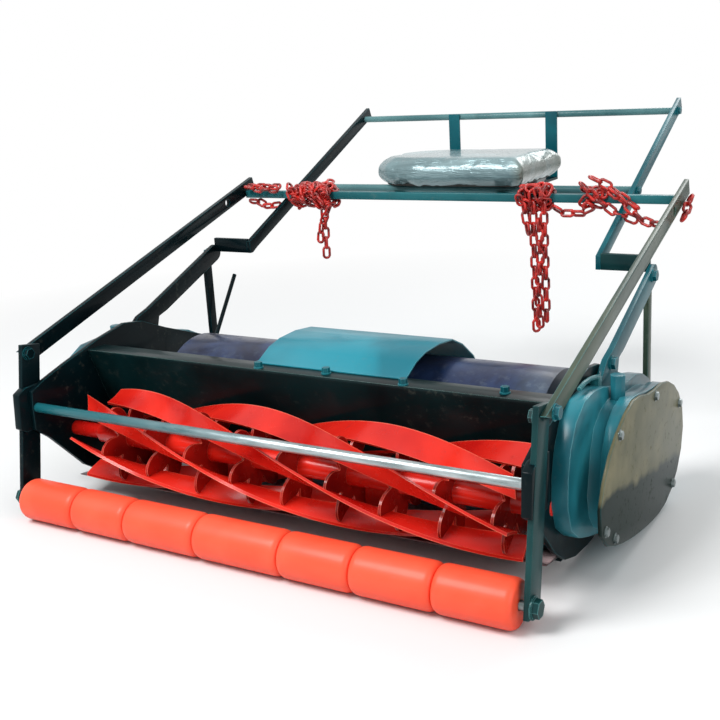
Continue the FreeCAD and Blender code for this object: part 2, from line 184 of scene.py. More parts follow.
# brushed enamel: a deep and a plain tone in soft patches, paler along the edges as painted highlight and worn
# paint together, dusty in the low places
glossSet = {
    "numbers": {"Coat_Roughness": 0.12, "IOR": 1.45},
    "patches": (0.38, 0.66, 5.0, 3.0, 0.55, even, 0.4),
    "edgeWidth": 2.2 * mm, "edgeShare": 0.7,
    "specks": (0.56, 0.74, 60.0, 4.0, 0.7), "grime": (0.45, 0.7, 9.0, 3.0, 0.6), "grimeShare": 0.25,
    "dust": tone(120, 122, 110),
    "roughness": 0.28, "dull": 0.9, "smear": (14.0, 2.0), "smearShare": 0.10, "coat": 0.10,
    "wave": (38.0, 2.0), "waveShare": 0.5, "grain": (420.0, 2.0), "grainShare": 0.05,
    "depth": 0.5 * mm, "strength": 0.35,
}


def gloss(name, deep, plain, edge, specular, s=glossSet):
    look = Look(name, Specular_IOR_Level=specular, **s["numbers"])
    colour = look.blend(look.spots(*s["patches"]), deep, plain)
    # painted highlight and worn paint together along the edges
    colour = look.blend(look.edges(s["edgeWidth"]) * s["edgeShare"], colour, edge)
    grime = look.spots(*s["specks"]) * look.spots(*s["grime"]) * s["grimeShare"]
    look.set("Base Color", look.blend(grime, colour, s["dust"]))
    look.set("Roughness", s["roughness"] + grime * s["dull"] + look.noise(*s["smear"]) * s["smearShare"])
    look.set("Coat Weight", s["coat"] - grime * s["coat"])
    ripple = look.noise(*s["wave"]) * s["waveShare"] + look.noise(*s["grain"]) * s["grainShare"]
    look.bump(ripple, s["depth"], s["strength"])
    return look


paints = {
    # name: deep tone, plain tone, edge tone, specular level
    "shadePaint": (tone(3, 14, 18), tone(5, 26, 30), tone(40, 120, 128), 0.06),
    # painted reflection: olive-grey in place of the teal frame paint, for the bars on the right side
    "barReflectionPaint": (tone(44, 62, 52), tone(78, 88, 72), tone(80, 160, 166), 0.16),
    "tealPaint": (tone(4, 70, 80), tone(8, 94, 104), tone(60, 150, 160), 0.16),
    # painted light: a lit, paler copy of the teal frame paint
    "litTealPaint": (tone(24, 88, 94), tone(44, 116, 122), tone(150, 200, 200), 0.2),
    # painted reflection: the pale patches on the gear cases stand in for reflections, and the pale edges are
    # a painted highlight
    "casePaint": (tone(6, 62, 74), tone(50, 142, 156), tone(126, 196, 204), 0.3),
    # painted shade: a darker copy of the teal frame paint, with paler edges as a painted highlight
    "shadedPostPaint": (tone(10, 44, 46), tone(26, 70, 70), tone(96, 158, 158), 0.12),
    "archPaint": (tone(16, 108, 124), tone(26, 134, 152), tone(110, 190, 200), 0.2),
    # painted shade: near black for the sheet behind the reel, with a painted highlight along its edges
    "shadedFlangePaint": (tone(4, 18, 20), tone(8, 34, 36), tone(150, 196, 190), 0.12),
    # painted light: a lit, paler grey-teal copy of the frame paint for the round rails
    "litRailPaint": (tone(56, 98, 102), tone(100, 142, 144), tone(180, 206, 206), 0.2),
}
looks = {name: gloss(name, *tones) for name, tones in paints.items()}

# moulded sections: an even orange, with painted shade underneath, and scuffs that run round
rollerLookSet = {
    "numbers": {"Coat_Roughness": 0.2, "IOR": 1.45, "Specular_IOR_Level": 0.3},
    "patches": (0.35, 0.7, 7.0, 3.0, 0.5, even, 0.5), "deep": tone(250, 84, 54), "plain": tone(255, 100, 70),
    "foot": (0.0, 0.03), "footShadeTone": tone(226, 62, 40),
    "scuffs": (0.60, 0.74, 130.0, 4.0, 0.75, (0.25, 1, 1)), "scuffShare": 0.45,
    "scuffTone": tone(214, 96, 80),
    "roughness": 0.46, "dull": 0.3, "coat": 0.12, "coatLoss": 0.1,
    "wave": (30.0, 3.0), "waveShare": 0.6, "grain": (240.0, 3.0), "grainShare": 0.1,
    "depth": 0.8 * mm, "strength": 0.4,
}


def rollerLook(s):
    look = Look("rollerPaint", **s["numbers"])
    colour = look.blend(look.spots(*s["patches"]), s["deep"], s["plain"])
    # painted shade: darker orange along the underside
    colour = look.blend(look.within(look.along("Z"), *s["foot"]), s["footShadeTone"], colour)
    scuffs = look.spots(*s["scuffs"]) * s["scuffShare"]
    look.set("Base Color", look.blend(scuffs, colour, s["scuffTone"]))
    look.set("Roughness", s["roughness"] + scuffs * s["dull"])
    look.set("Coat Weight", s["coat"] - scuffs * s["coatLoss"])
    ripple = look.noise(*s["wave"]) * s["waveShare"] + look.noise(*s["grain"]) * s["grainShare"]
    look.bump(ripple, s["depth"], s["strength"])
    return look


# red enamel of the reel: a painted highlight along the edges, specks of dirt
reelLookSet = {
    "numbers": {"Coat_Roughness": 0.15, "IOR": 1.45, "Specular_IOR_Level": 0.3},
    "patches": (0.35, 0.68, 8.0, 3.0, 0.5, (0.5, 1, 1), 0.5),
    "edgeWidth": 2.0 * mm, "edgeShare": 0.7, "edgeTone": tone(255, 128, 100),
    "grime": (0.58, 0.76, 45.0, 4.0, 0.7), "grimeShare": 0.35, "grimeTone": tone(120, 18, 12),
    "roughness": 0.26, "dull": 0.6, "coat": 0.14, "coatLoss": 0.3,
    "wave": (26.0, 2.0), "waveShare": 0.6, "depth": 0.8 * mm, "strength": 0.4,
}


def reelLook(name, deep, plain, s=reelLookSet):
    look = Look(name, **s["numbers"])
    colour = look.blend(look.spots(*s["patches"]), deep, plain)
    # painted highlight: paler red along the edges
    colour = look.blend(look.edges(s["edgeWidth"]) * s["edgeShare"], colour, s["edgeTone"])
    grime = look.spots(*s["grime"]) * s["grimeShare"]
    look.set("Base Color", look.blend(grime, colour, s["grimeTone"]))
    look.set("Roughness", s["roughness"] + grime * s["dull"])
    look.set("Coat Weight", s["coat"] - grime * s["coatLoss"])
    look.bump(look.noise(*s["wave"]) * s["waveShare"], s["depth"], s["strength"])
    return look


# drum: mottled blue, worn grey at its right end, a painted dark brownish reflection along the top
drumLookSet = {
    "numbers": {"Coat_Roughness": 0.15, "IOR": 1.45, "Specular_IOR_Level": 0.25},
    "patches": (0.36, 0.68, 9.0, 4.0, 0.6, even, 0.8), "deep": tone(16, 30, 58), "plain": tone(44, 66, 108),
    "mottle": (0.52, 0.72, 55.0, 4.0, 0.7), "mottleShare": 0.35,
    "wornEnd": (0.40, 0.47), "wander": (14.0, 2.0), "wanderShare": 0.06, "wornShare": 0.5,
    "wornTone": tone(110, 122, 134),
    "crown": (0.255, 0.285), "crownSpots": (0.3, 0.55, 11.0, 3.0), "crownShare": 0.4,
    "crownReflectionTone": tone(40, 30, 26),
    "roughness": 0.30, "dull": 0.25, "coat": 0.12, "coatLoss": 0.1,
    "wave": (60.0, 3.0), "waveShare": 0.7, "depth": 0.6 * mm, "strength": 0.4,
}


def drumLook(s):
    look = Look("drumPaint", **s["numbers"])
    colour = look.blend(look.spots(*s["patches"]), s["deep"], s["plain"])
    mottle = look.spots(*s["mottle"])
    worn = look.within(look.along("X") + look.noise(*s["wander"]) * s["wanderShare"], *s["wornEnd"])
    colour = look.blend(mottle * s["mottleShare"] + worn * s["wornShare"], colour, s["wornTone"])
    # painted reflection: a dark brownish band along the top
    crown = look.within(look.along("Z"), *s["crown"]) * look.spots(*s["crownSpots"])
    look.set("Base Color", look.blend(crown * s["crownShare"], colour, s["crownReflectionTone"]))
    look.set("Roughness", s["roughness"] + mottle * s["dull"])
    look.set("Coat Weight", s["coat"] - mottle * s["coatLoss"])
    look.bump(look.noise(*s["wave"]) * s["waveShare"], s["depth"], s["strength"])
    return look


# plated or ground steel with streaks and dull spots
steelLookSet = {
    "numbers": {"IOR": 1.5},
    "streaks": (0.3, 0.75, 70.0, 3.0, 0.6, (0.15, 1, 1)),
    "metal": 0.95, "tarnish": (0.6, 0.8, 90.0, 3.0, 0.7), "tarnishShare": 0.5,
    "paintEnd": (-0.22, 0.16), "wander": (9.0, 2.0), "wanderShare": 0.16,
    "roughness": 0.24, "dull": 0.14,
    "scratches": (120.0, 2.0, 0.6, (0.1, 1, 1)), "depth": 0.2 * mm, "strength": 0.3,
}


def steelLook(name, bright, dull, painted=None, s=steelLookSet):
    # painted gives a tone that takes over towards the left end
    look = Look(name, **s["numbers"])
    streaks = look.spots(*s["streaks"])
    colour = look.blend(streaks, dull, bright)
    metal = s["metal"] - look.spots(*s["tarnish"]) * s["tarnishShare"]
    if painted:
        reach = look.along("X") + look.noise(*s["wander"]) * s["wanderShare"]
        share = look.within(reach, *s["paintEnd"])
        colour = look.blend(share, painted, colour)
        metal = metal * share
    look.set("Base Color", colour)
    look.set("Metallic", metal)
    look.set("Roughness", s["roughness"] + streaks * s["dull"])
    look.bump(look.noise(*s["scratches"]), s["depth"], s["strength"])
    return look


# painted chain: uneven red, worn on its edges
chainLookSet = {
    "numbers": {"Coat_Roughness": 0.15, "Coat_Weight": 0.1, "IOR": 1.5},
    "patches": (0.36, 0.64, 48.0, 3.0, 0.6), "deep": tone(104, 10, 8), "plain": tone(206, 34, 22),
    "edgeWidth": 1.2 * mm, "worn": (0.55, 0.7, 110.0, 2.0), "wornShare": 0.3, "wornTone": tone(216, 110, 96),
    "roughness": 0.34, "dull": 0.1, "wave": (160.0, 2.0), "depth": 0.3 * mm, "strength": 0.5,
}


def chainLook(s):
    look = Look("chainPaint", **s["numbers"])
    patches = look.spots(*s["patches"])
    colour = look.blend(patches, s["deep"], s["plain"])
    worn = look.edges(s["edgeWidth"]) * look.spots(*s["worn"])
    look.set("Base Color", look.blend(worn * s["wornShare"], colour, s["wornTone"]))
    look.set("Roughness", s["roughness"] + patches * s["dull"])
    look.bump(look.noise(*s["wave"]), s["depth"], s["strength"])
    return look


# seat board: dark weathered wood
boardLookSet = {
    "numbers": {"IOR": 1.45},
    "rings": (24.0, 5.0, 0.6, (0.2, 1, 3), 0.6), "deep": tone(16, 18, 18), "plain": tone(46, 44, 38),
    "roughness": 0.55, "dull": 0.2, "depth": 0.6 * mm, "strength": 0.5,
}


def boardLook(s):
    look = Look("boardWood", **s["numbers"])
    rings = look.noise(*s["rings"])
    look.set("Base Color", look.blend(rings, s["deep"], s["plain"]))
    look.set("Roughness", s["roughness"] + rings * s["dull"])
    look.bump(rings, s["depth"], s["strength"])
    return look


# pale upholstery under a clear film: grey-blue, very shiny in folds, tan at its right end
filmLookSet = {
    "numbers": {"Coat_Roughness": 0.05, "Coat_Weight": 0.5, "IOR": 1.5, "Metallic": 0.25},
    "clouds": (0.34, 0.7, 6.0, 4.0, 0.6, (0.7, 1, 2), 0.6),
    "deep": tone(86, 112, 116), "plain": tone(150, 176, 180),
    "tanEnd": (0.16, 0.19), "tanSpots": (0.2, 0.5, 12.0, 2.0), "tanShare": 0.85, "tanTone": tone(88, 92, 78),
    "roughness": 0.20, "dull": 0.16,
    "folds": (16.0, 4.0, 0.62, (0.5, 1.4, 3.2), 1.1),
    "creases": (60.0, 3.0, 0.6, (0.5, 1.0, 2.0), 0.8), "creaseShare": 0.3,
    "depth": 7.0 * mm, "strength": 0.55,
}


def filmLook(s):
    look = Look("seatWrap", **s["numbers"])
    clouds = look.spots(*s["clouds"])
    colour = look.blend(clouds, s["deep"], s["plain"])
    tan = look.within(look.along("X"), *s["tanEnd"]) * look.spots(*s["tanSpots"])
    look.set("Base Color", look.blend(tan * s["tanShare"], colour, s["tanTone"]))
    look.set("Roughness", s["roughness"] + clouds * s["dull"])
    folds = look.noise(*s["folds"]) + look.noise(*s["creases"]) * s["creaseShare"]
    look.bump(folds, s["depth"], s["strength"])
    return look


# flat covers: olive on the upper part, a painted dark green reflection below a wandering line
coverLookSet = {
    "numbers": {"Coat_Roughness": 0.1, "IOR": 1.45, "Specular_IOR_Level": 0.15},
    "slope": 0.2, "wander": (9.0, 3.0), "wanderShare": 0.06, "line": (0.096, 0.108),
    "lowReflectionTone": tone(8, 28, 24),
    "patches": (0.35, 0.65, 9.0, 3.0), "deep": tone(84, 84, 62), "plain": tone(122, 116, 88),
    "edgeWidth": 3.0 * mm, "edgeShare": 0.8, "edgeTone": tone(40, 110, 118),
    "specks": (0.58, 0.74, 70.0, 4.0, 0.7), "speckShare": 0.3, "speckTone": tone(60, 62, 46),
    "roughness": 0.36, "dull": 0.3, "coat": 0.08, "coatLoss": 0.05,
    "wave": (22.0, 2.0), "depth": 0.6 * mm, "strength": 0.3,
}


def coverLook(s):
    look = Look("coverPaint", **s["numbers"])
    height = look.along("Z") + look.along("Y") * s["slope"] + look.noise(*s["wander"]) * s["wanderShare"]
    olive = look.blend(look.spots(*s["patches"]), s["deep"], s["plain"])
    # painted reflection: dark green below the line
    colour = look.blend(look.within(height, *s["line"]), s["lowReflectionTone"], olive)
    colour = look.blend(look.edges(s["edgeWidth"]) * s["edgeShare"], colour, s["edgeTone"])
    specks = look.spots(*s["specks"])
    look.set("Base Color", look.blend(specks * s["speckShare"], colour, s["speckTone"]))
    look.set("Roughness", s["roughness"] + specks * s["dull"])
    look.set("Coat Weight", s["coat"] - specks * s["coatLoss"])
    look.bump(look.noise(*s["wave"]), s["depth"], s["strength"])
    return look


looks["coverPaint"] = coverLook(coverLookSet)
looks["rollerPaint"] = rollerLook(rollerLookSet)
looks["reelPaint"] = reelLook("reelPaint", tone(190, 20, 14), tone(240, 48, 32))
# painted shade: a darker copy of the reel's red for the webs
looks["shadedWebPaint"] = reelLook("shadedWebPaint", tone(112, 10, 8), tone(190, 34, 24))
looks["drumPaint"] = drumLook(drumLookSet)
looks["tieSteel"] = steelLook("tieSteel", tone(206, 214, 216), tone(120, 134, 136), tone(20, 92, 100))
looks["boltSteel"] = steelLook("boltSteel", tone(150, 160, 160), tone(80, 92, 92))
looks["knifeSteel"] = steelLook("knifeSteel", tone(150, 130, 130), tone(92, 66, 68))
looks["chainPaint"] = chainLook(chainLookSet)
looks["boardWood"] = boardLook(boardLookSet)
looks["seatWrap"] = filmLook(filmLookSet)
print("looks made")


# meshes: lengths in mm, angles in degrees
meshSet = {"weld": 0.01, "fineWeld": 0.001, "flatAngle": 0.6, "sharpAngle": 35, "smoothAngle": 32,
           "easeSteps": 2, "easeProfile": 0.5}


def finish(name, bm, look, body, replaced=(), angle=meshSet["smoothAngle"]):
    # a finished piece: its place is in its mesh, smooth up to the given angle
    mesh = bpy.data.meshes.new(name)
    bm.to_mesh(mesh)
    bm.free()
    mesh.materials.append(looks[look].material)
    for face in mesh.polygons:
        face.use_smooth = True
        face.material_index = 0
    mesh.set_sharp_from_angle(angle=math.radians(angle))
    piece = bpy.data.objects.new(name, mesh)
    bpy.context.collection.objects.link(piece)
    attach(piece, body)
    if replaced:
        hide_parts(*replaced)
    return piece


def merged(node):
    # copy of a CAD node's mesh with its triangles joined into whole faces
    bm = bmesh.new()
    bm.from_mesh(nodes[node].data)
    bmesh.ops.remove_doubles(bm, verts=bm.verts, dist=meshSet["weld"] * mm)
    flat = math.radians(meshSet["flatAngle"])
    bmesh.ops.dissolve_limit(bm, angle_limit=flat, verts=bm.verts, edges=bm.edges)
    return bm


def ease(bm, width):
    # rounds the sharp edges
    sharp = math.radians(meshSet["sharpAngle"])
    edges = [e for e in bm.edges if len(e.link_faces) == 2 and e.calc_face_angle() > sharp]
    bmesh.ops.bevel(bm, geom=edges, offset=width, offset_type="OFFSET", segments=meshSet["easeSteps"],
                    affect="EDGES", profile=meshSet["easeProfile"], material=-1, clamp_overlap=True)


# bars, plates and castings that keep their CAD form and get eased edges
easedSet = {
    # node: look, slot, edge width in mm
    "front_post_left": ("shadePaint", "frame_paint", 1.2),
    "front_post_right": ("shadedPostPaint", "frame_paint", 1.2),
    "post_guide_left": ("shadePaint", "frame_paint", 2.0),
    "post_guide_right": ("shadePaint", "frame_paint", 2.0),
    "long_bar_left": ("shadePaint", "frame_paint", 1.4),
    "long_bar_right": ("barReflectionPaint", "frame_paint", 1.4),
    "side_plate_left": ("shadePaint", "frame_paint", 1.2),
    "side_plate_right": ("shadePaint", "frame_paint", 1.2),
    "bracket_leg_left": ("shadePaint", "frame_paint", 1.4),
    "bracket_leg_right": ("tealPaint", "frame_paint", 1.4),
    "bracket_strut_left": ("shadePaint", "frame_paint", 1.2),
    "bracket_strut_right": ("barReflectionPaint", "frame_paint", 1.2),
    "knee_bar_left": ("shadePaint", "frame_paint", 1.2),
    "knee_bar_right": ("shadedPostPaint", "frame_paint", 1.2),
    "seat_arm_left": ("shadePaint", "frame_paint", 1.2),
    "seat_arm_right": ("tealPaint", "frame_paint", 1.2),
    "crossbar_front": ("litTealPaint", "frame_paint", 1.6),
    "crossbar_rear": ("litRailPaint", "frame_paint", 0.8),
    "back_rail": ("litRailPaint", "frame_paint", 0.8),
    "seat_straps": ("shadePaint", "frame_paint", 0.8),
    "strap_uprights": ("tealPaint", "frame_paint", 0.8),
    "seat_blocks": ("shadePaint", "frame_paint", 0.8),
    "deflector_plate": ("shadedFlangePaint", "frame_paint", 0.8),
    "drum_cover": ("archPaint", "cover_paint", 0.6),
    "bed_knife": ("knifeSteel", "knife_steel", 0.6),
    "bed_bar": ("shadePaint", "frame_paint", 1.0),
    "gear_case_left": ("casePaint", "case_paint", 5.0),
    "gear_case_right": ("casePaint", "case_paint", 5.0),
    "gear_cover_left": ("coverPaint", "case_paint", 2.4),
    "gear_cover_right": ("coverPaint", "case_paint", 2.4),
    "filler_caps": ("casePaint", "frame_paint", 2.5),
    "shift_rod": ("litTealPaint", "frame_paint", 0.5),
    "hand_lever": ("shadePaint", "frame_paint", 0.8),
    "tie_rod": ("tieSteel", "bright_steel", 0.8),
    "roller_shaft": ("boltSteel", "bright_steel", 0.8),
    "drum_axle": ("boltSteel", "bright_steel", 1.0),
    "drum_shells": ("drumPaint", "drum_paint", 2.0),
    "reel_shaft": ("reelPaint", "reel_paint", 1.0),
    "seat_board": ("boardWood", "board_wood", 1.0),
}
# the axle's faces keep clear of its bearings as it turns
axleShare = 0.99
bodyOf = {node: body for body, members in frame["record"]["behaviour"]["bodies"].items() for node in members}
for node, (look, slotName, width) in easedSet.items():
    bm = merged(node)
    ease(bm, width * mm)
    if node == "drum_axle":
        bmesh.ops.translate(bm, verts=bm.verts, vec=-drumAxis)
        bmesh.ops.scale(bm, verts=bm.verts, vec=(1, axleShare, axleShare))
        bmesh.ops.translate(bm, verts=bm.verts, vec=drumAxis)
    finish(node + "_eased", bm, look, bodyOf[node], [node])
print("bars and castings eased")


def spun(profile, steps):
    # closed solid of revolution round the X axis through the origin, from (along, radius) points
    bm = bmesh.new()
    points = [bm.verts.new((x, 0, r)) for x, r in profile]
    line = [bm.edges.new(pair) for pair in zip(points, points[1:])]
    bmesh.ops.spin(bm, geom=points + line, cent=(0, 0, 0), axis=(1, 0, 0), angle=2 * math.pi, steps=steps,
                   use_merge=True)
    bmesh.ops.remove_doubles(bm, verts=bm.verts, dist=meshSet["fineWeld"] * mm)
    bmesh.ops.recalc_face_normals(bm, faces=bm.faces)
    return bm


def append(target, source):
    # adds one bmesh to another
    data = bpy.data.meshes.new("part")
    source.to_mesh(data)
    source.free()
    target.from_mesh(data)
    bpy.data.meshes.remove(data)


# front roller: soft-shouldered sections that butt together
rollerSet = {"seams": (-525, -385, -252, -87, 96, 238, 388, 525), "radius": 41.0, "seam": 1.2,
             "shoulder": 13.0, "drop": 8.0, "bore": 9.0, "arcSteps": 7, "steps": 56, "smooth": 50}


def makeRoller(s):
    bm = bmesh.new()
    for seamLow, seamHigh in zip(s["seams"], s["seams"][1:]):
        half = (seamHigh - seamLow - s["seam"]) / 2
        centre = (seamLow + seamHigh) / 2
        side = []
        for k in range(s["arcSteps"] + 1):
            turn = math.pi / 2 * k / s["arcSteps"]
            reach = half - s["shoulder"] * (1 - math.sin(turn))
            side.append((reach, s["radius"] - s["drop"] * (1 - math.cos(turn))))
        profile = [(-half, s["bore"])] + [(-x, r) for x, r in side[::-1]] + side + [(half, s["bore"])]
        section = spun([(x * mm, r * mm) for x, r in profile], s["steps"])
        bmesh.ops.translate(section, verts=section.verts, vec=(centre * mm, rollerAxis.y, rollerAxis.z))
        append(bm, section)
    return bm


finish("roller_sections_round", makeRoller(rollerSet), "rollerPaint", "front_roller", ["roller_sections"],
       rollerSet["smooth"])
print("front roller made")


# cutting reel: each blade is one section swept along its helix
reelSet = {"blades": 6, "radius": 96.0, "low": -441.0, "high": 487.0, "width": 46.0, "thick": 5.0,
           "rake": 30.0, "pitch": 276.7, "lead": 85.4, "steps": 84, "lip": 3.0, "belly": 0.35,
           "bellyThick": 0.9, "smooth": 30}


def bladeRoot(s):
    # radius of the blade's inner edge, and the angle by which it lags the cutting edge
    rake = math.radians(s["rake"])
    root = math.sqrt(s["radius"] ** 2 + s["width"] ** 2 - 2 * s["radius"] * s["width"] * math.cos(rake))
    return root, math.asin(s["width"] * math.sin(rake) / root)


def makeBlades(s):
    root, lag = bladeRoot(s)
    stepTurn = 2 * math.pi / s["blades"]
    length = s["high"] - s["low"]
    fullTurn = stepTurn * length / s["pitch"]
    firstTurn = math.radians(s["lead"]) + stepTurn * s["low"] / s["pitch"]
    bm = bmesh.new()
    for k in range(s["blades"]):
        turn = firstTurn + stepTurn * k
        edge = Vector((0, s["radius"] * math.cos(turn), s["radius"] * math.sin(turn)))
        foot = Vector((0, root * math.cos(turn + lag), root * math.sin(turn + lag)))
        run = (foot - edge).normalized()
        across = Vector((1, 0, 0)).cross(run) * s["thick"]
        if (edge + across).length > s["radius"]:
            across = -across
        belly = (edge + foot) / 2 + across * s["belly"]
        back = belly + across * s["bellyThick"]
        corners = [edge, belly, foot, foot + across, back, edge + run * s["lip"] + across]
        blade = bmesh.new()
        ring = [blade.verts.new(c * mm + Vector((s["low"] * mm, 0, 0))) for c in corners]
        face = blade.faces.new(ring)
        bmesh.ops.spin(blade, geom=[face], cent=(0, 0, 0), axis=(1, 0, 0), angle=fullTurn, steps=s["steps"],
                       dvec=(length * mm / s["steps"], 0, 0))
        bmesh.ops.recalc_face_normals(blade, faces=blade.faces)
        append(bm, blade)
    bmesh.ops.translate(bm, verts=bm.verts, vec=(0, reelAxis.y, reelAxis.z))
    return bm


finish("reel_blades_helical", makeBlades(reelSet), "reelPaint", "cutting_reel", ["reel_blades"],
       reelSet["smooth"])

# spiders: thin webs with a rounded lobe behind each blade
spiderSet = {"first": -364.0, "count": 9, "pitch": 103.0, "thick": 5.0, "bore": 21.1, "valley": 43.0,
             "tip": 88.0, "lobe": 25.0, "inset": 5.5, "fullness": 0.6, "points": 120, "smooth": 40}


def webReach(s, r, off):
    # the web's radius at an angle counted from the blade's cutting edge: round behind the blade,
    # along the blade before it
    radius, root, lag = r["radius"], *bladeRoot(r)
    half = math.pi / r["blades"]
    if off < 0:
        share = math.cos(min(-off / math.radians(s["lobe"]), 1) * math.pi / 2) ** s["fullness"]
        return s["valley"] + (s["tip"] - s["valley"]) * share
    if off < lag:
        line = radius * root * math.sin(lag) / (radius * math.sin(off) + root * math.sin(lag - off))
        return min(line - s["inset"], s["tip"])
    return s["valley"] + (root - s["inset"] - s["valley"]) * (half - off) / (half - lag)


def makeSpiders(s, r):
    bm = bmesh.new()
    stepTurn = 2 * math.pi / r["blades"]
    for i in range(s["count"]):
        x = s["first"] + i * s["pitch"]
        edgeTurn = math.radians(r["lead"]) + stepTurn * x / r["pitch"]
        outer = []
        inner = []
        for k in range(s["points"]):
            turn = 2 * math.pi * k / s["points"]
            reach = webReach(s, r, (turn - edgeTurn + stepTurn / 2) % stepTurn - stepTurn / 2)
            way = Vector((0, math.cos(turn), math.sin(turn)))
            start = Vector((x - s["thick"] / 2, 0, 0))
            outer.append(bm.verts.new((start + way * reach) * mm))
            inner.append(bm.verts.new((start + way * s["bore"]) * mm))
        faces = []
        for k in range(s["points"]):
            j = (k + 1) % s["points"]
            faces.append(bm.faces.new((inner[k], inner[j], outer[j], outer[k])))
        grown = bmesh.ops.extrude_face_region(bm, geom=faces, use_keep_orig=True)["geom"]
        verts = [v for v in grown if isinstance(v, bmesh.types.BMVert)]
        bmesh.ops.translate(bm, verts=verts, vec=(s["thick"] * mm, 0, 0))
    bmesh.ops.recalc_face_normals(bm, faces=bm.faces)
    bmesh.ops.translate(bm, verts=bm.verts, vec=(0, reelAxis.y, reelAxis.z))
    return bm


finish("reel_spiders_webs", makeSpiders(spiderSet, reelSet), "shadedWebPaint", "cutting_reel", ["reel_spiders"],
       spiderSet["smooth"])
print("reel made")


# chains: a round link for each link of the frame
linkSet = {"wire": 3.3, "outerLength": 34.0, "outerWidth": 22.0, "sides": 8, "steps": 12, "smooth": 60}


def makeLink(s):
    bm = bmesh.new()
    bend = s["outerWidth"] / 2 - s["wire"]
    circle = bmesh.ops.create_circle(bm, segments=s["sides"], radius=s["wire"] * mm)["verts"]
    bmesh.ops.rotate(bm, verts=circle, cent=(0, 0, 0), matrix=Matrix.Rotation(math.pi / 2, 3, "X"))
    bmesh.ops.translate(bm, verts=circle, vec=(bend * mm, 0, 0))
    bmesh.ops.rotate(bm, verts=circle, cent=(0, 0, 0), matrix=Matrix.Rotation(math.pi / s["steps"], 3, "Z"))
    bmesh.ops.spin(bm, geom=bm.verts[:] + bm.edges[:], cent=(0, 0, 0), axis=(0, 0, 1), angle=2 * math.pi,
                   steps=s["steps"], use_merge=True)
    bmesh.ops.remove_doubles(bm, verts=bm.verts, dist=meshSet["weld"] * mm)
    stretch = (s["outerLength"] / 2 - s["outerWidth"] / 2) * mm
    for v in bm.verts:
        v.co.x += stretch if v.co.x > 0 else -stretch
    bmesh.ops.recalc_face_normals(bm, faces=bm.faces)
    return bm


def islands(bm):
    # groups of vertices that hang together
    seen = set()
    for start in bm.verts:
        if start in seen:
            continue
        group = [start]
        seen.add(start)
        for v in group:
            for edge in v.link_edges:
                other = edge.other_vert(v)
                if other not in seen:
                    seen.add(other)
                    group.append(other)
        yield group


# loose links beside those of the frame, for each chain
looseSet = {
    # heaps round the front crossbar: x from and to, count, distance from the bar's middle from and to
    "heaps": {
        "chain_left": ((-395, -285, 44, 15, 26), (-318, -292, 8, 20, 34)),
        "chain_right": ((205, 268, 30, 15, 26), (344, 384, 7, 13, 16)),
    },
    # strands that hang or are slung before the bar: (x, z) corners, z from the ground
    "strands": {
        "chain_left": ([(-285, 521), (-312, 470), (-318, 430)], [(-530, 565), (-480, 558), (-440, 560)]),
        "chain_right": ([(249, 500), (252, 420), (246, 330), (249, 270)],
                        [(364, 592), (400, 575), (427, 553), (470, 525)],
                        [(343, 579), (380, 545), (412, 521), (455, 505)]),
    },
    # mm between links of a strand and before the bar's middle; radians for the turns in a heap
    "pitch": 24.0, "front": 25.0, "firstTurn": -0.6, "lastTurn": math.pi + 1.0, "lag": 0.4, "sway": 0.9,
}


def facing(run, side):
    # the turn that lays X along run and Y along side
    return Matrix((run, side, run.cross(side))).transposed().to_4x4()


def addLink(chain, template, spot, turn):
    link = template.copy()
    bmesh.ops.transform(link, matrix=Matrix.Translation(spot) @ turn, verts=link.verts)
    append(chain, link)


def looseLinks(s, node, template, chain):
    dice = random.Random(len(node))
    bar = middleOf("crossbar_front")
    for low, high, count, near, far in s["heaps"][node]:
        for i in range(count):
            x = (low + (high - low) * (i + dice.random()) / count) * mm
            turn = dice.uniform(s["firstTurn"], s["lastTurn"])
            reach = dice.uniform(near, far) * mm
            way = turn - s["lag"]
            spot = Vector((x, bar.y - reach * math.sin(way), bar.z + reach * math.cos(way)))
            tilt = Matrix.Rotation(dice.uniform(-s["sway"], s["sway"]), 4, "Y")
            tilt = tilt @ Matrix.Rotation(turn, 4, "X")
            tilt = tilt @ Matrix.Rotation(dice.uniform(0, math.pi), 4, "Z")
            addLink(chain, template, spot, tilt)
    for corners in s["strands"][node]:
        points = [Vector((x * mm, bar.y - s["front"] * mm, z * mm)) for x, z in corners]
        left = s["pitch"] * mm / 2
        flat = False
        for a, b in zip(points, points[1:]):
            run = (b - a).normalized()
            while left < (b - a).length:
                side = Vector((0, 1, 0)).cross(run) if flat else Vector((0, 1, 0))
                addLink(chain, template, a + run * left, facing(run, side))
                left += s["pitch"] * mm
                flat = not flat
            left -= (b - a).length


def makeChain(node):
    solids = merged(node)
    template = makeLink(linkSet)
    chain = bmesh.new()
    for group in islands(solids):
        points = np.array([v.co[:] for v in group])
        centre = points.mean(axis=0)
        directions = np.linalg.eigh(np.cov((points - centre).T))[1]
        turn = facing(Vector(directions[:, 2]), Vector(directions[:, 1]))
        addLink(chain, template, Vector(centre), turn)
    looseLinks(looseSet, node, template, chain)
    template.free()
    solids.free()
    bmesh.ops.recalc_face_normals(chain, faces=chain.faces)
    return chain


for node in ("chain_left", "chain_right"):
    finish(node + "_links", makeChain(node), "chainPaint", "frame", [node], linkSet["smooth"])
print("chains made")


# seat: a padded block, blown up by cloth simulation and wrapped in film
seatSet = {"voxel": 5.0, "soften": 14, "factor": 0.5, "shrink": 4.0, "pressure": 4.0, "frames": 20,
           "cap": 9.0, "levels": 1, "smooth": 180}


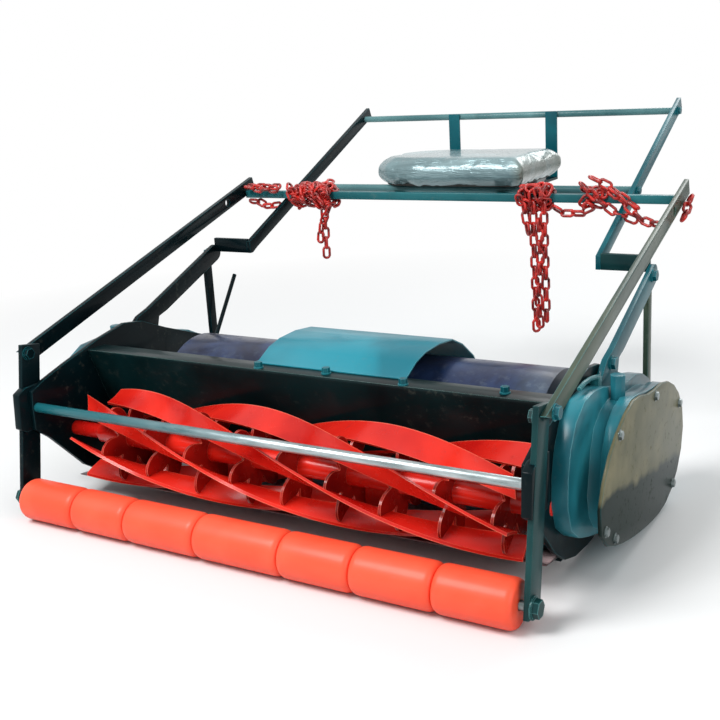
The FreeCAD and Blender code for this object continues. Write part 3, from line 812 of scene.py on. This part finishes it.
def makeSeat(s):
    bm = merged("seat_cushion")
    low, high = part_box("seat_cushion")
    centre = (Vector(low) + Vector(high)) / 2
    size = Vector(high) - Vector(low)
    for v in bm.verts:
        for axis in range(3):
            share = 1 - 2 * s["shrink"] * mm / size[axis]
            v.co[axis] = centre[axis] + (v.co[axis] - centre[axis]) * share
    seat = finish("seat_cushion_wrapped", bm, "seatWrap", "frame", ["seat_cushion"], s["smooth"])
    bpy.context.view_layer.objects.active = seat
    remesh = seat.modifiers.new("remesh", "REMESH")
    remesh.mode = "VOXEL"
    remesh.voxel_size = s["voxel"] * mm
    bpy.ops.object.modifier_apply(modifier=remesh.name)
    soften = seat.modifiers.new("soften", "SMOOTH")
    soften.factor = s["factor"]
    soften.iterations = s["soften"]
    bpy.ops.object.modifier_apply(modifier=soften.name)
    before = [v.co.copy() for v in seat.data.vertices]
    cloth = seat.modifiers.new("cloth", "CLOTH")
    cloth.settings.use_pressure = True
    cloth.settings.uniform_pressure_force = s["pressure"]
    cloth.settings.effector_weights.gravity = 0
    cloth.point_cache.frame_start = 1
    cloth.point_cache.frame_end = s["frames"]
    for step in range(1, s["frames"] + 1):
        bpy.context.scene.frame_set(step)
    bpy.ops.object.modifier_apply(modifier=cloth.name)
    bpy.context.scene.frame_set(1)
    for v, old in zip(seat.data.vertices, before):
        move = v.co - old
        if move.length > s["cap"] * mm:
            v.co = old + move.normalized() * s["cap"] * mm
    for v in seat.data.vertices:
        v.co.z = max(v.co.z, low[2])
    smooth = seat.modifiers.new("smooth", "SUBSURF")
    smooth.levels = s["levels"]
    smooth.render_levels = s["levels"]
    for face in seat.data.polygons:
        face.use_smooth = True


makeSeat(seatSet)
print("seat made")


# bolt heads and nuts: six-sided heads on a washer, standing out along +X or -X
coverBolts = ((231, 247), (606, 186), (160, 108), (208, 76), (566, 36), (440, 250))
boltSmooth = 40
boltSet = (
    # node that carries them, look, side, across-flats and height in mm,
    # (y, z) from the roller's axis and the ground
    ("gear_cover_right", "boltSteel", 1, 14.0, 5.0, coverBolts),
    ("gear_cover_left", "boltSteel", -1, 14.0, 5.0, coverBolts),
    ("bracket_leg_right", "tealPaint", 1, 20.0, 9.0, ((647, 423), (392, 318))),
    ("bracket_leg_left", "tealPaint", -1, 20.0, 9.0, ((647, 423), (392, 318))),
    ("front_post_right", "shadedPostPaint", 1, 28.0, 13.0, ((0, 41), )),
    ("front_post_left", "shadedPostPaint", -1, 28.0, 13.0, ((0, 41), )),
    ("front_post_right", "shadedPostPaint", -1, 20.0, 9.0, ((48, 330), )),
    ("front_post_left", "shadePaint", 1, 20.0, 9.0, ((48, 330), )),
    ("long_bar_right", "tealPaint", 1, 20.0, 9.0, ((74, 330), )),
    ("long_bar_left", "tealPaint", -1, 20.0, 9.0, ((74, 330), )),
    ("seat_arm_right", "tealPaint", 1, 16.0, 7.0, ((911, 551), (1237, 697))),
    ("seat_arm_left", "shadePaint", -1, 16.0, 7.0, ((911, 551), (1237, 697))),
)
headSet = {
    # radius at the foot and at the top as shares of the corner's, from and to as shares of the height, sides
    "washer": (1.18, 1.18, 0.0, 0.18, 24),
    "hexagon": (1.0, 0.94, 0.15, 1.0, 6),
}


def headShape(across, height):
    # a hexagon head with a worn top edge, standing along +X on its washer
    corner = across / math.sqrt(3)
    head = bmesh.new()
    for foot, top, low, high, sides in headSet.values():
        disc = bmesh.ops.create_cone(head, cap_ends=True, segments=sides, radius1=corner * foot * mm,
                                     radius2=corner * top * mm, depth=(high - low) * height * mm)
        bmesh.ops.translate(head, verts=disc["verts"], vec=(0, 0, (low + high) / 2 * height * mm))
    bmesh.ops.rotate(head, verts=head.verts, cent=(0, 0, 0), matrix=Matrix.Rotation(math.pi / 2, 3, "Y"))
    return head


def makeBolts(node, side, across, height, places):
    low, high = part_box(node)
    bolts = bmesh.new()
    for y, z in places:
        head = headShape(across, height)
        if side < 0:
            bmesh.ops.rotate(head, verts=head.verts, cent=(0, 0, 0), matrix=Matrix.Rotation(math.pi, 3, "Z"))
        face = high[0] if side > 0 else low[0]
        bmesh.ops.translate(head, verts=head.verts, vec=(face, rollerAxis.y + y * mm, z * mm))
        append(bolts, head)
    return bolts


for node, look, side, across, height, places in boltSet:
    name = node + ("_bolts_outer" if (side > 0) == node.endswith("right") else "_bolts_inner")
    finish(name, makeBolts(node, side, across, height, places), look, bodyOf[node], (), boltSmooth)

# studs on the flange of the sheet behind the reel: (x, y) from the machine's middle and the roller's axis
studSet = {"across": 14.0, "height": 12.0, "places": ((-84, 203), (61, 214), (229, 201), (414, 218))}


def makeStuds(s):
    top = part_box("deflector_plate")[1][2]
    studs = bmesh.new()
    for x, y in s["places"]:
        head = headShape(s["across"], s["height"])
        bmesh.ops.rotate(head, verts=head.verts, cent=(0, 0, 0), matrix=Matrix.Rotation(-math.pi / 2, 3, "Y"))
        bmesh.ops.translate(head, verts=head.verts, vec=(x * mm, rollerAxis.y + y * mm, top))
        append(studs, head)
    return studs


finish("deflector_plate_studs", makeStuds(studSet), "tealPaint", "frame", (), boltSmooth)
print("bolts made")


# floor, studio light and white surround: metres and watts
white = (1, 1, 1, 1)
stageSet = {"radius": 9.0, "sides": 64, "fadeFrom": 1.0, "fadeTo": 2.6, "tone": (0.80, 0.80, 0.80, 1),
            "roughness": 0.9}


def makeStage(s):
    bm = bmesh.new()
    bmesh.ops.create_circle(bm, cap_ends=True, segments=s["sides"], radius=s["radius"])
    data = bpy.data.meshes.new("floor")
    bm.to_mesh(data)
    bm.free()
    floor = bpy.data.objects.new("floor", data)
    bpy.context.collection.objects.link(floor)
    look = Look("floorPaint", Roughness=s["roughness"])
    look.set("Base Color", s["tone"])
    data.materials.append(look.material)
    path = look.make("LightPath", out="Is Camera Ray")
    far = look.make("VectorMath", {"operation": "LENGTH"}, {0: look.place}, "Value")
    glow = look.make("Emission", sockets={"Color": white, "Strength": 1.0})
    share = look.within(far, s["fadeFrom"], s["fadeTo"]) * path
    mixed = look.make("MixShader", sockets={0: share, 1: Wire(look, look.surface.outputs[0]), 2: glow})
    look.tree.links.new(mixed.socket, look.tree.nodes["Material Output"].inputs["Surface"])


lampSet = {
    # name: place, size, watts
    "key": ((-1.2, -2.4, 3.4), 2.0, 150.0),
    "fill": ((2.8, -1.6, 2.0), 2.4, 36.0),
    "rim": ((0.6, 3.0, 2.6), 2.2, 60.0),
}
lampAim = Vector((0, 0, 0.3))


def makeLamps():
    for name, (place, size, power) in lampSet.items():
        data = bpy.data.lights.new(name, "AREA")
        data.shape = "DISK"
        data.size = size
        data.energy = power
        lamp = bpy.data.objects.new(name, data)
        lamp.location = place
        aim = lampAim - lamp.location
        lamp.rotation_euler = aim.to_track_quat("-Z", "Y").to_euler()
        bpy.context.collection.objects.link(lamp)


# what lights the object, and what the camera and mirror-like surfaces see
worldSet = {"soft": ((0.86, 0.92, 0.94, 1), 0.42), "seen": (white, 1.0)}


def makeWorld(s):
    world = bpy.data.worlds.new("studio")
    bpy.context.scene.world = world
    world.use_nodes = True
    tree = world.node_tree
    soft = tree.nodes["Background"]
    backdrop = tree.nodes.new("ShaderNodeBackground")
    for node, (colour, strength) in ((soft, s["soft"]), (backdrop, s["seen"])):
        node.inputs["Color"].default_value = colour
        node.inputs["Strength"].default_value = strength
    mix = tree.nodes.new("ShaderNodeMixShader")
    path = tree.nodes.new("ShaderNodeLightPath")
    seen = tree.nodes.new("ShaderNodeMath")
    bounced = tree.nodes.new("ShaderNodeMath")
    seen.operation = bounced.operation = "MAXIMUM"
    tree.links.new(path.outputs["Is Glossy Ray"], bounced.inputs[0])
    tree.links.new(path.outputs["Is Transmission Ray"], bounced.inputs[1])
    tree.links.new(path.outputs["Is Camera Ray"], seen.inputs[0])
    tree.links.new(bounced.outputs[0], seen.inputs[1])
    for source, socket in zip((seen, soft, backdrop), mix.inputs):
        tree.links.new(source.outputs[0], socket)
    tree.links.new(mix.outputs[0], tree.nodes["World Output"].inputs["Surface"])


makeStage(stageSet)
makeLamps()
makeWorld(worldSet)
bpy.context.scene.view_settings.view_transform = "Standard"
print("stage and lights set")
